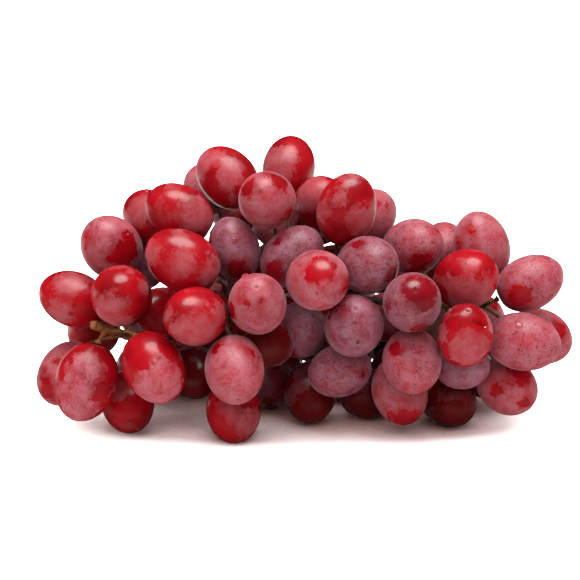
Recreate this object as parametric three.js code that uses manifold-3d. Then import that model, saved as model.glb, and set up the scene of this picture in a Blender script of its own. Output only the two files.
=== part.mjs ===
// A bunch of red table grapes lying on its side: the woody stalk with its side shoots, and the
// berries that it carries. Millimetres, +Z up, origin on the surface under the middle of the bunch.
//
// The bunch is planned shoot by shoot, as where each berry wants to sit. The berries then settle:
// they push each other apart, clear the main stalk and come to rest on the surface. Last, the
// stalk grows out to every berry through the gaps that are left.
import * as THREE from "three";
import { mergeVertices } from "three/addons/utils/BufferGeometryUtils.js";
import Module from "manifold-3d";

// ---- Driving dimensions ----
const BERRY_DIAMETER = 19; // a middling berry; the plan gives each one's share of it
const BERRY_LENGTH_RATIO = 1.28; // length over diameter
const TIP_SHARE = 0.52; // of a berry's length lies between its widest ring and its tip
const BERRY_SIDES = 12; // facets around a berry
const BERRY_RINGS = 8; // facets from end to end, an even number so that one ring is the widest

const STALK_RADIUS = 1.6; // the main stalk at its cut end
const STALK_TIP_RADIUS = 1.2; // and at its far end
const SHOOT_RADIUS = 1.05; // a side shoot that carries several berries
const PEDICEL_RADIUS = 0.75; // the last stretch, to one berry
const STALK_SIDES = 8; // facets around the main stalk
const SHOOT_SIDES = 5; // and around its shoots and pedicels
const CLEARANCE = 0.3; // left between a berry and the wood, and between neighbouring solids
const STALK_BERTH = 2.6; // no skin comes nearer to the main stalk's middle line than this

const { Vector3 } = THREE;
const UP = new Vector3(0, 1, 0); // a lathe's own axis

// ---- The plan ----
// The main stalk, from its cut end through the middle of the bunch to its far end.
const STALK_ROUTE = [
  [-62.5, -24, 39],
  [-57.5, -18, 36],
  [-51, -7, 30.5],
  [-38, 5, 31],
  [-18, 6, 39],
  [10, 6, 42],
  [38, 2, 40],
  [64, -5, 41],
].map((point) => new Vector3(...point));

// Each berry: [across, back, up, share of the middling diameter, heading, rise]. Places are of the
// berry's middle. Heading and rise give the way its tip points, in degrees: heading 0 is along +X,
// 90 straight back and -90 straight forward; rise is above the level.
const SHOOTS = {
  left_end: [
    [-70.5, -9, 44, 0.97, 176, 22],
    [-53, -22.5, 48, 1.03, -90, 25],
    [-67, 7, 29, 0.92, 120, -10],
    [-73.5, -9, 19, 0.98, -122, -37],
    [-64.5, -26, 21, 1.06, -139, -68],
    [-53, -14, 10.5, 0.93, -76, -35],
    [-42, -37, 28.5, 1.0, -47, -44],
  ],
  left_shoulder: [
    [-58.5, -2, 60, 1.05, -111, 40],
    [-47.5, 12, 68, 0.92, 121, 20],
    [-35.5, -5, 71.5, 0.98, 175, 30],
    [-33.5, -20, 59, 1.04, 175, 28],
    [-42, -6, 39, 0.88, -121, 10],
  ],
  crown_left: [
    [-20.5, 5, 82, 1.0, 142, 36],
    [-28, 22, 76, 0.9, 110, 25],
    [-7.5, -8, 76.5, 0.98, -100, 20],
    [0, 24, 83, 0.97, 76, 50],
    [-17.5, -11, 61.5, 0.88, 175, 72],
  ],
  crown_right: [
    [11, 14, 72.5, 0.92, -75, 30],
    [19, -9, 72.5, 1.02, -50, 69],
    [26, 9, 69, 0.9, 60, 25],
    [0.5, -12, 59, 0.94, 9, 41],
    [24.5, -21, 57.5, 0.98, -62, 11],
  ],
  belly_left: [
    [-28.5, -35, 44, 0.98, -118, 11],
    [-10, -34, 48, 0.96, -90, 38],
    [-31.5, -6, 18.5, 0.9, -75, -14],
    [-17, -36, 28.5, 0.98, -81, -35],
    [-18, -22, 10, 0.95, -85, -40],
    [-6.5, -20, 32, 0.8, -123, 10],
    [-6, 15, 10, 0.96, 58, -40],
  ],
  belly_middle: [
    [9, -32, 55, 1.0, -71, 11],
    [3.5, -9, 33, 0.95, -90, 40],
    [20.5, -26, 40.5, 1.0, -90, 38],
    [16.5, -12, 21, 0.92, -149, -7],
    [8, 6, 9.5, 0.95, -95, -35],
    [24.5, 1, 9.5, 0.94, 60, -20],
  ],
  belly_right: [
    [37.5, -31, 48.5, 0.96, -90, 30],
    [40.5, -7, 61, 0.98, -62, 15],
    [39, -31, 29, 1.0, -90, -22],
    [36, -14, 14.5, 0.97, -76, -45],
  ],
  right_shoulder: [
    [53.5, 14, 56.5, 0.87, 90, 20],
    [63, -1, 59.5, 0.99, 160, 75],
    [56, -19, 53, 1.02, -64, 24],
  ],
  right_end: [
    [77, -9.5, 50.5, 0.94, 4, 26],
    [54, -34, 38, 0.92, -90, 58],
    [74, -22, 33, 0.99, -25, -5],
    [83.5, -3, 30, 0.98, -50, -8],
    [56, -19, 24.5, 0.84, -50, 9],
    [70.5, -15, 16.5, 0.98, -66, -8],
    [53.5, -5, 9.5, 0.96, -70, -5],
  ],
};

// Behind, short shoots each carry a row of berries pressed together: [first berry's middle, last
// berry's middle, rise]. The tips of a row point back, and fan out from its middle.
const PRESSED_IN_ROW = 4;
const PRESSED_SHARE = 0.96; // of the middling diameter, give or take
const SHARE_SPREAD = 0.04; // this much
const ROW_STAGGER = 1.7; // how far a row's berries sit above and below its line, by turns
const FAN = 18; // degrees by which each berry of a row points further along the row
const SWAY = 14; // degrees by which they point above or below the row's rise
const BACK_SHOOTS = {
  back_foot_left: [[-56, 16, 11], [-2, 34, 11], -30],
  back_foot_right: [[20, 26, 10], [70, 8, 12], -30],
  back_waist_left: [[-50, 22, 30], [-2, 34, 30], -10],
  back_waist_right: [[16, 32, 29], [66, 16, 31], -10],
  back_belly_left: [[-52, 18, 49], [-4, 34, 50], 5],
  back_belly_right: [[15, 34, 47], [66, 16, 47], 5],
  back_crown: [[-21, 34, 66], [27, 27, 62], 30],
  back_low_left: [[-42, 46, 16], [9, 52, 16], -10],
  back_low_right: [[28, 44, 16], [74, 28, 17], -10],
  back_middle: [[-27, 51, 34], [24, 51, 34], 0],
};

// ---- How berries settle ----
const ROUNDS = 900; // of pushing every pair apart
const BEADS = 50; // steps into which the main stalk's middle line is divided
const PRESS = 2; // how deep pressed berries reach into each other
const GIVE = new Vector3(0.12, 1, 0.12); // berries slide back and forth more readily than sideways
const WAY_BACK = new Vector3(0, 0.98, -0.2); // and a little downwards as they go back

/** A berry on the plan: its middle, the way its tip points, and its size. */
function plannedBerry(shoot, place, share, heading, rise) {
  const turn = THREE.MathUtils.degToRad(heading);
  const tilt = THREE.MathUtils.degToRad(rise);
  const flat = Math.cos(tilt);
  return {
    shoot,
    middle: new Vector3(...place),
    tipWay: new Vector3(flat * Math.cos(turn), flat * Math.sin(turn), Math.sin(tilt)),
    radius: (BERRY_DIAMETER * share) / 2,
  };
}

const berries = [];
for (const [shoot, rows] of Object.entries(SHOOTS)) {
  for (const [across, back, up, share, heading, rise] of rows) {
    berries.push(plannedBerry(shoot, [across, back, up], share, heading, rise));
  }
}
const looseCount = berries.length;
Object.entries(BACK_SHOOTS).forEach(([shoot, [first, last, rise]], row) => {
  const lastIndex = PRESSED_IN_ROW - 1;
  for (let i = 0; i <= lastIndex; i++) {
    const place = new Vector3(...first).lerp(new Vector3(...last), i / lastIndex);
    place.z += ROW_STAGGER * (-1) ** (i + row);
    const share = PRESSED_SHARE + SHARE_SPREAD * Math.sin(5 * i + 2 * row);
    const heading = 90 - FAN * (i - lastIndex / 2);
    const lift = rise + SWAY * Math.sin(3 * i + row);
    berries.push(plannedBerry(shoot, place.toArray(), share, heading, lift));
  }
});

/** How far a berry reaches from its middle towards a plane square to `way`. */
function reach(berry, way) {
  const across = berry.radius;
  const along = across * BERRY_LENGTH_RATIO;
  return Math.sqrt(across ** 2 + (along ** 2 - across ** 2) * berry.tipWay.dot(way) ** 2);
}

/** The share of a push along `way` that goes into each axis, so that berries mostly slide back. */
function slide(way) {
  const eased = way.clone().multiply(GIVE).addScaledVector(WAY_BACK, way.dot(WAY_BACK));
  return eased.divideScalar(eased.dot(way));
}

/** Whether two berries are neighbours in one pressed row, which stay joined. */
function arePressed(i, j) {
  return i >= looseCount && berries[i].shoot === berries[j].shoot && Math.abs(i - j) === 1;
}

/** Pushes two berries apart until they touch, or together if they are pressed neighbours. */
function partPair(i, j) {
  const [a, b] = [berries[i], berries[j]];
  const way = b.middle.clone().sub(a.middle);
  const distance = way.length();
  way.divideScalar(distance);
  const pressed = arePressed(i, j);
  const miss = reach(a, way) + reach(b, way) + (pressed ? -PRESS : CLEARANCE) - distance;
  if (miss <= 0 && !pressed) return;
  const push = slide(way).multiplyScalar(miss / 2);
  a.middle.sub(push);
  b.middle.add(push);
}

const stalkCurve = new THREE.CatmullRomCurve3(STALK_ROUTE);
const stalkBeads = stalkCurve.getSpacedPoints(BEADS);

/** Moves the berries until they clear each other and the main stalk, and rest on the surface. */
function settle() {
  for (let round = 0; round < ROUNDS; round++) {
    for (let i = 0; i < berries.length; i++) {
      for (let j = i + 1; j < berries.length; j++) partPair(i, j);
    }
    for (const berry of berries) {
      for (const bead of stalkBeads) {
        const way = berry.middle.clone().sub(bead);
        const miss = reach(berry, way.clone().normalize()) + STALK_BERTH - way.length();
        if (miss > 0) berry.middle.addScaledVector(slide(way.normalize()), miss);
      }
      const lowest = reach(berry, new Vector3(0, 0, 1));
      berry.middle.z = Math.max(berry.middle.z, lowest);
    }
  }
}
settle();

// ---- How the wood grows ----
const LATTICE = 1.5; // wood grows from point to point of a lattice this fine
const TIGHT = 0.45; // it can't pass where its middle line is nearer to a skin than this
const EASY = 1.8; // and it keeps this far off wherever it can
const DETOUR = 6; // how much farther it would rather go than squeeze
const LEAD = 6; // a pedicel leaves its berry within this distance of the berry's end,
const STRAIGHT = 2; // after running this far straight out of it
const PULL = 3; // how much more a millimetre from its berry costs a pedicel than one of open growth
const STUB_BEADS = 3; // no shoot leaves the bare stub, which is this many beads long
const BEHIND = -0.5; // the cosine beyond which a way counts as leading back from a berry's end
const SMOOTHING_ROUNDS = 40;
const SMOOTHING_SHARE = 0.5; // how far each round moves a knot towards its neighbours' middle
const OUT_OF_TOUCH = 38; // a berry whose middle is farther from a knot than this can't touch it
const SAME_EFFORT = 1e-9; // two ways whose efforts differ by less than this are equally easy
const SHOOT_LOAD = 3; // wood that carries this many berries is a shoot, not a pedicel
const KNOT_STRIDE = 4; // a tube bends at every fourth lattice point it passes

/** How far a point is from a berry's skin, near enough for growing wood. */
function skinGap(point, berry) {
  const way = point.clone().sub(berry.middle);
  const along = way.dot(berry.tipWay);
  const across = Math.sqrt(Math.max(way.lengthSq() - along ** 2, 0));
  const half = berry.radius * BERRY_LENGTH_RATIO;
  const size = Math.hypot(along / half, across / berry.radius);
  const slope = Math.hypot(along / half ** 2, across / berry.radius ** 2) / size;
  return (size - 1) / slope;
}

/** A place on a berry's own axis, `off` beyond the end where its pedicel joins it. */
function tailOf(berry, off = 0) {
  const half = berry.radius * BERRY_LENGTH_RATIO;
  return berry.middle.clone().addScaledVector(berry.tipWay, -half - off);
}

const middles = berries.map((berry) => berry.middle);
const room = new THREE.Box3().setFromPoints(middles).expandByScalar(2 * LATTICE);
const counts = room.getSize(new Vector3()).divideScalar(LATTICE).ceil();
const lastPoint = counts.clone().subScalar(1);
const latticeSize = counts.x * counts.y * counts.z;

/** The place of lattice point number n. */
function latticePoint(n) {
  const column = Math.floor(n / counts.z);
  const steps = new Vector3(Math.floor(column / counts.y), column % counts.y, n % counts.z);
  return steps.multiplyScalar(LATTICE).add(room.min);
}

/** The number of the lattice point nearest to a place. */
function latticeNumber(point) {
  const steps = point.clone().sub(room.min).divideScalar(LATTICE).round();
  steps.clamp(new Vector3(), lastPoint);
  return (steps.x * counts.y + steps.y) * counts.z + steps.z;
}

/** The numbers of the lattice points in a cube around a place. */
function latticeNear(point, halfSide) {
  const low = point.clone().subScalar(halfSide).sub(room.min).divideScalar(LATTICE).ceil();
  const high = point.clone().addScalar(halfSide).sub(room.min).divideScalar(LATTICE).floor();
  low.max(new Vector3());
  high.min(lastPoint);
  const found = [];
  for (let x = low.x; x <= high.x; x++) {
    for (let y = low.y; y <= high.y; y++) {
      for (let z = low.z; z <= high.z; z++) found.push((x * counts.y + y) * counts.z + z);
    }
  }
  return found;
}

/** How far every lattice point is from the nearest skin, up to EASY. */
function findGaps() {
  const found = new Float32Array(latticeSize).fill(EASY);
  for (const berry of berries) {
    for (const n of latticeNear(berry.middle, berry.radius * BERRY_LENGTH_RATIO + EASY)) {
      found[n] = Math.min(found[n], skinGap(latticePoint(n), berry));
    }
  }
  return found;
}
const gaps = findGaps();

/** The easiest way of growing from the main stalk to every lattice point. */
function growThroughLattice() {
  const cost = new Float32Array(latticeSize).fill(Infinity);
  const from = new Int32Array(latticeSize).fill(-1);
  let edge = stalkBeads.slice(STUB_BEADS).map(latticeNumber);
  for (const n of edge) cost[n] = 0;
  while (edge.length) {
    const next = new Set();
    for (const n of edge) {
      const here = latticePoint(n);
      for (const m of latticeNear(here, LATTICE)) {
        if (gaps[m] < TIGHT) continue;
        const squeeze = 1 + DETOUR * (EASY - gaps[m]) ** 2;
        const reached = cost[n] + here.distanceTo(latticePoint(m)) * squeeze;
        if (reached < cost[m] - SAME_EFFORT) {
          cost[m] = reached;
          from[m] = n;
          next.add(m);
        }
      }
    }
    edge = [...next];
  }
  return { cost, from };
}
const { cost, from } = growThroughLattice();

/** The lattice point from which a berry's pedicel starts on its way to the main stalk. */
function pedicelStart(berry) {
  const tail = tailOf(berry);
  const isBehindTail = (n) => {
    const way = latticePoint(n).sub(tail);
    const isNear = way.length() < LEAD && way.length() > STRAIGHT;
    return isNear && gaps[n] >= TIGHT && way.normalize().dot(berry.tipWay) < BEHIND;
  };
  const effort = (n) => cost[n] + PULL * latticePoint(n).distanceTo(tail);
  const starts = latticeNear(tail, LEAD).filter(isBehindTail);
  return starts.sort((n, m) => effort(n) - effort(m))[0];
}

/** The knots of the growing wood: by lattice number, each one's place and how it is joined. */
function growKnots() {
  const knots = new Map();
  const knotAt = (n) => {
    if (!knots.has(n)) {
      const place = latticePoint(n);
      const rooted = from[n] < 0;
      if (rooted) place.copy(nearestBead(place));
      knots.set(n, { place, rooted, next: [], load: 0, drawn: rooted });
    }
    return knots.get(n);
  };
  for (const berry of berries) {
    let n = pedicelStart(berry);
    berry.start = n;
    knotAt(n).next.push({ place: tailOf(berry, STRAIGHT) });
    while (from[n] >= 0) {
      const knot = knotAt(n);
      knot.load += 1;
      if (!knot.towardsStalk) {
        knot.towardsStalk = knotAt(from[n]);
        knot.towardsStalk.next.push(knot);
      }
      n = from[n];
    }
  }
  return knots;
}

/** The point of the main stalk's middle line that is nearest to a place. */
function nearestBead(place) {
  const nearer = (a, b) => (a.distanceTo(place) < b.distanceTo(place) ? a : b);
  return stalkBeads.reduce(nearer).clone();
}

/** Straightens the wood out between its forks and keeps it off the skins. */
function smoothKnots(knots) {
  const growing = [...knots.values()].filter((knot) => !knot.rooted);
  for (let round = 0; round < SMOOTHING_ROUNDS; round++) {
    for (const knot of growing) {
      const neighbours = [knot.towardsStalk, ...knot.next];
      const mean = new Vector3();
      for (const { place } of neighbours) mean.addScaledVector(place, 1 / neighbours.length);
      knot.place.lerp(mean, SMOOTHING_SHARE);
      for (const berry of berries) {
        const way = knot.place.clone().sub(berry.middle);
        if (way.length() > OUT_OF_TOUCH) continue;
        const miss = PEDICEL_RADIUS + 2 * CLEARANCE - skinGap(knot.place, berry);
        if (miss > 0) knot.place.addScaledVector(way.normalize(), miss);
      }
    }
  }
}

const knots = growKnots();
smoothKnots(knots);

// ---- Solids ----
const SAME_POINT = 1e-4; // corners nearer to each other than this are one corner
const BEADS_PER_LENGTH = 10; // the main stalk is made in lengths of this many beads
const wasm = await Module();
wasm.setup();

/** A closed solid that can be joined and cut, from a three.js shape. */
function toSolid(geometry) {
  geometry.deleteAttribute("normal");
  geometry.deleteAttribute("uv");
  const merged = mergeVertices(geometry, SAME_POINT);
  const vertProperties = new Float32Array(merged.attributes.position.array);
  const triVerts = new Uint32Array(merged.index.array);
  return new wasm.Manifold(new wasm.Mesh({ numProp: 3, vertProperties, triVerts }));
}

/** The three.js shape of a solid. */
function toGeometry(solid) {
  const mesh = solid.getMesh();
  const geometry = new THREE.BufferGeometry();
  geometry.setAttribute("position", new THREE.BufferAttribute(mesh.vertProperties, 3));
  geometry.setIndex(new THREE.BufferAttribute(mesh.triVerts, 1));
  geometry.computeVertexNormals();
  return geometry;
}

/** One solid out of several that touch. */
function joined(solids) {
  return solids.reduce((sum, solid) => sum.add(solid));
}

/** A berry's shape in its place, grown all over by `extra`: an egg, blunter at its tail. */
function berryShape(berry, extra = 0) {
  const radius = berry.radius + extra;
  const half = berry.radius * BERRY_LENGTH_RATIO + extra;
  const tipHalf = 2 * half * TIP_SHARE;
  const tailHalf = 2 * half - tipHalf;
  const profile = [];
  for (let ring = 0; ring <= BERRY_RINGS; ring++) {
    const turn = (Math.PI * ring) / BERRY_RINGS;
    const out = ring % BERRY_RINGS ? radius * Math.sin(turn) : 0;
    const along = -Math.cos(turn);
    profile.push(new THREE.Vector2(out, along * (along > 0 ? tipHalf : tailHalf) + half - tipHalf));
  }
  const shape = new THREE.LatheGeometry(profile, BERRY_SIDES);
  shape.applyQuaternion(new THREE.Quaternion().setFromUnitVectors(UP, berry.tipWay));
  shape.translate(...berry.middle.toArray());
  return shape;
}

/** A round length of wood through some places. */
function woodTube(places, radius, sides = SHOOT_SIDES) {
  const corners = [];
  for (let i = 0; i < sides; i++) {
    const turn = (2 * Math.PI * i) / sides;
    corners.push(new THREE.Vector2(radius * Math.cos(turn), radius * Math.sin(turn)));
  }
  const ring = new THREE.Shape(corners);
  const extrudePath = new THREE.CatmullRomCurve3(places);
  const steps = places.length - 1;
  return toSolid(new THREE.ExtrudeGeometry(ring, { steps, extrudePath, bevelEnabled: false }));
}

/** The places of a chain at which its tube bends, always with its two ends. */
function thinned(places) {
  const last = places.length - 1;
  return places.filter((place, i) => i === 0 || i === last || (last - i) % KNOT_STRIDE === 0);
}

/** The main stalk: lengths that get thinner one after the other, each starting inside the last. */
function mainStalk() {
  const lengths = [];
  for (let start = 0; start < BEADS; start += BEADS_PER_LENGTH) {
    const places = stalkBeads.slice(Math.max(start - 1, 0), start + BEADS_PER_LENGTH + 1);
    const along = start / (BEADS - BEADS_PER_LENGTH);
    const radius = THREE.MathUtils.lerp(STALK_RADIUS, STALK_TIP_RADIUS, along);
    lengths.push(woodTube(thinned(places), radius, STALK_SIDES));
  }
  return joined(lengths);
}

/** The wood that one berry adds: its pedicel, and whatever of its shoot isn't there yet. */
function branchTo(berry) {
  const pedicel = [];
  const shoot = [];
  let knot = knots.get(berry.start);
  while (!knot.drawn) {
    const places = knot.load < SHOOT_LOAD ? pedicel : shoot;
    places.push(knot.place);
    knot.drawn = true;
    knot = knot.towardsStalk;
  }
  if (shoot.length < 2) {
    pedicel.push(...shoot.splice(0), knot.place);
  } else {
    pedicel.push(...shoot.slice(0, 2));
    shoot.push(knot.place);
  }
  const straight = [tailOf(berry, CLEARANCE), tailOf(berry, STRAIGHT)];
  const tubes = [woodTube([...straight, ...thinned(pedicel)], PEDICEL_RADIUS)];
  if (shoot.length) tubes.push(woodTube(thinned(shoot), SHOOT_RADIUS));
  return tubes;
}

/** The whole stalk, kept clear of every berry. */
function stalkSolid() {
  const farthestFirst = [...berries].sort((a, b) => cost[b.start] - cost[a.start]);
  const wood = joined([mainStalk(), ...farthestFirst.flatMap(branchTo)]);
  const kept = joined(berries.map((berry) => toSolid(berryShape(berry, CLEARANCE))));
  const bodies = wood.subtract(kept).decompose();
  return bodies.sort((a, b) => b.volume() - a.volume())[0];
}

// ---- The bunch ----
const RIPENESS = [0x8f1a26, 0x7d1f33, 0xa3222b, 0x722a3f]; // skins, from one berry to the next
const WOOD = 0x8d7341;
const SKIN_ROUGHNESS = 0.35;
const WOOD_ROUGHNESS = 0.8;

/** One named piece of the bunch with a material of its own. */
function piece(name, geometry, color, roughness) {
  const material = new THREE.MeshStandardMaterial({ color, roughness, metalness: 0 });
  const mesh = new THREE.Mesh(geometry, material);
  mesh.name = name;
  return mesh;
}

const bunch = new THREE.Group();
bunch.name = "bunch_of_grapes";
bunch.add(piece("stalk", toGeometry(stalkSolid()), WOOD, WOOD_ROUGHNESS));
for (const shoot of Object.keys(SHOOTS)) {
  const own = berries.filter((berry) => berry.shoot === shoot);
  own.forEach((berry, i) => {
    const color = RIPENESS[(i + shoot.length) % RIPENESS.length];
    const shape = toGeometry(toSolid(berryShape(berry)));
    bunch.add(piece(`berry_${shoot}_${i + 1}`, shape, color, SKIN_ROUGHNESS));
  });
}
for (const shoot of Object.keys(BACK_SHOOTS)) {
  const own = berries.filter((berry) => berry.shoot === shoot);
  const row = joined(own.map((berry) => toSolid(berryShape(berry))));
  const color = RIPENESS[shoot.length % RIPENESS.length];
  bunch.add(piece(`berries_${shoot}`, toGeometry(row), color, SKIN_ROUGHNESS));
}

const extent = new THREE.Box3().setFromObject(bunch);
const middle = extent.getCenter(new Vector3());
for (const mesh of bunch.children) mesh.geometry.translate(-middle.x, -middle.y, -extent.min.z);

export default bunch;
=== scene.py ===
"""A bunch of red table grapes lying on its side on a pale surface.

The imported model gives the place, tilt and size of every berry and the run of the stalk. Each berry
is made again as a smooth fruit with a blossom scar and a stem end, under a waxy bloom that has been
rubbed off in places. The stalk is made again as knobbly wood with a collar at every berry, and a
few water drops lie on the skins. Lengths are in metres.
"""

import logging
import math
import random
from dataclasses import dataclass, field
from enum import Enum
from typing import Iterator, Optional, Sequence

import bmesh
import bpy
import numpy as np
from mathutils import Matrix, Quaternion, Vector, noise

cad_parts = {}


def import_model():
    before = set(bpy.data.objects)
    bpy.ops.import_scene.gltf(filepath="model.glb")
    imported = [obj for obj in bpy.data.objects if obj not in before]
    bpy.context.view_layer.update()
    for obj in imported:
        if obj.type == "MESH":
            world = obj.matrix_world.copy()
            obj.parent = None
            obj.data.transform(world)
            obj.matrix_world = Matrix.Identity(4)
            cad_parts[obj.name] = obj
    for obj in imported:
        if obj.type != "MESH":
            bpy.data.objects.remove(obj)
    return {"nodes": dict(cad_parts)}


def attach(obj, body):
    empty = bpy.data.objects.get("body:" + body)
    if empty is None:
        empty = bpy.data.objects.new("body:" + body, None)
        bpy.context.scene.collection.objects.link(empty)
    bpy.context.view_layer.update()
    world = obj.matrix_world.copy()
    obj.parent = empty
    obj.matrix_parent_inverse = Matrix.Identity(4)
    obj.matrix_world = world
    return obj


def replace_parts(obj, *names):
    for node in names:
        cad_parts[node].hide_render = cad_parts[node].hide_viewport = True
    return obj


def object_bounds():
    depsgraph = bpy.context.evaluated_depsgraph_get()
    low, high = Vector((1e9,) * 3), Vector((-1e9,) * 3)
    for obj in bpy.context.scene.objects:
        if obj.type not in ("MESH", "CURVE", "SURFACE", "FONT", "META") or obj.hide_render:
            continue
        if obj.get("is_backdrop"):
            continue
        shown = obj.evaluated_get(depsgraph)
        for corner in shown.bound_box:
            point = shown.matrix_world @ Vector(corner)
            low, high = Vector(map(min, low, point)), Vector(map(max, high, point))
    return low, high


LOG = logging.getLogger("grapes")
MM = 0.001
FRONT_TILT = 12.0  # degrees by which the front view looks down
SPOT_FADE = math.radians(28.0)
Colour = tuple[float, float, float, float]


# ---------------------------------------------------------------- shader helpers


class Nodes:
    """A node tree with short ways of adding and joining nodes."""

    def __init__(self, tree: bpy.types.NodeTree) -> None:
        """Keep the tree that nodes are added to.

        Args:
            tree: The tree of a material, a world or a node group.
        """
        self.tree = tree

    def add(self, kind: str, **settings: object) -> bpy.types.Node:
        """Add a node.

        Args:
            kind: Blender's name for the node, without "ShaderNode".
            **settings: Properties of the node to set.

        Returns:
            The new node.
        """
        node = self.tree.nodes.new("ShaderNode" + kind)
        for name, value in settings.items():
            setattr(node, name, value)
        return node

    def fed(self, kind: str, inputs: dict, **settings: object) -> bpy.types.Node:
        """Add a node and feed its inputs.

        Args:
            kind: As for add.
            inputs: Sockets or plain values, by the name or number of the input.
            **settings: As for add.

        Returns:
            The new node.
        """
        node = self.add(kind, **settings)
        for key, value in inputs.items():
            self.join(value, node.inputs[key])
        return node

    def join(self, source: object, target: bpy.types.NodeSocket) -> None:
        """Feed a socket from another socket, or set it to a plain value.

        Args:
            source: An output socket, a number or a colour.
            target: The input socket.
        """
        if isinstance(source, bpy.types.NodeSocket):
            self.tree.links.new(source, target)
        else:
            target.default_value = source

    def math(self, operation: str, *values: object, clamp: bool = False) -> bpy.types.NodeSocket:
        """Add a Math node.

        Args:
            operation: The Math node's operation.
            *values: Its inputs, as sockets or numbers.
            clamp: Whether the result is kept between 0 and 1.

        Returns:
            The node's output.
        """
        node = self.fed("Math", dict(enumerate(values)), operation=operation, use_clamp=clamp)
        return node.outputs[0]

    def step(self, value: object, low: object, high: object) -> bpy.types.NodeSocket:
        """Add a smooth step from 0 at `low` to 1 at `high`.

        Args:
            value: The socket to read.
            low: Where the step starts.
            high: Where it ends.

        Returns:
            The stepped value.
        """
        ends = {"Value": value, "From Min": low, "From Max": high}
        return self.fed("MapRange", ends, interpolation_type="SMOOTHSTEP").outputs[0]

    def blend(self, share: object, first: object, second: object) -> bpy.types.NodeSocket:
        """Add a colour mix.

        Args:
            share: How much of the second colour shows.
            first: The first colour.
            second: The second colour.

        Returns:
            The mixed colour.
        """
        return self.fed("Mix", {0: share, 6: first, 7: second}, data_type="RGBA").outputs[2]

    def noise(self, place: object, scale: float, detail: float = 3.0, rough: float = 0.5,
              distortion: float = 0.0) -> bpy.types.NodeSocket:
        """Add a noise pattern.

        Args:
            place: The vector that the pattern follows.
            scale: Its features per unit of the vector.
            detail: Its octaves.
            rough: How strong the finer octaves are.
            distortion: How much it is swirled.

        Returns:
            The pattern's value.
        """
        pattern = {"Vector": place, "Scale": scale, "Detail": detail, "Roughness": rough,
                   "Distortion": distortion}
        return self.fed("TexNoise", pattern).outputs[0]

    def bump(self, height: object, strength: float, distance: float) -> bpy.types.NodeSocket:
        """Add a bump.

        Args:
            height: The socket that gives the height.
            strength: How much of it shows.
            distance: The height of a full step, in metres.

        Returns:
            The bumped normal.
        """
        inputs = {"Height": height, "Strength": strength, "Distance": distance}
        return self.fed("Bump", inputs).outputs["Normal"]

    def attribute(self, name: str, vector: bool = False) -> bpy.types.NodeSocket:
        """Read an attribute of the mesh.

        Args:
            name: The attribute's name.
            vector: Whether to read it as a vector.

        Returns:
            The attribute's value.
        """
        node = self.add("Attribute", attribute_name=name)
        return node.outputs["Vector" if vector else "Fac"]


def new_group(name: str, inputs: Sequence[tuple[str, str, float]],
              outputs: Sequence[tuple[str, str]]) -> tuple[bpy.types.NodeTree, Nodes, dict]:
    """Start a shader node group.

    Args:
        name: The group's name.
        inputs: Each input's name, socket kind and usual value.
        outputs: Each output's name and socket kind.

    Returns:
        The group, its nodes, and its input sockets by name.
    """
    group = bpy.data.node_groups.new(name, "ShaderNodeTree")
    add_socket = group.interface.new_socket
    for label, kind, usual in inputs:
        socket = add_socket(name=label, in_out="INPUT", socket_type="NodeSocket" + kind)
        if kind == "Float":
            socket.default_value = usual
    for label, kind in outputs:
        add_socket(name=label, in_out="OUTPUT", socket_type="NodeSocket" + kind)
    start = group.nodes.new("NodeGroupInput")
    return group, Nodes(group), {socket.name: socket for socket in start.outputs}


def new_material(name: str) -> tuple[bpy.types.Material, Nodes]:
    """Start a material that has no nodes yet.

    Args:
        name: The material's name.

    Returns:
        The material and its nodes.
    """
    made = bpy.data.materials.new(name)
    made.use_nodes = True
    made.node_tree.nodes.clear()
    return made, Nodes(made.node_tree)


def new_piece(name: str, shape: bmesh.types.BMesh, smooth: bool = True) -> bpy.types.Object:
    """Make an object of a finished shape, which this frees.

    Args:
        name: The object's name.
        shape: The shape.
        smooth: Whether its faces are shaded smooth.

    Returns:
        The object, in the scene.
    """
    for face in shape.faces:
        face.smooth = smooth
    mesh = bpy.data.meshes.new(name)
    shape.to_mesh(mesh)
    shape.free()
    piece = bpy.data.objects.new(name, mesh)
    bpy.context.collection.objects.link(piece)
    return piece


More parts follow.
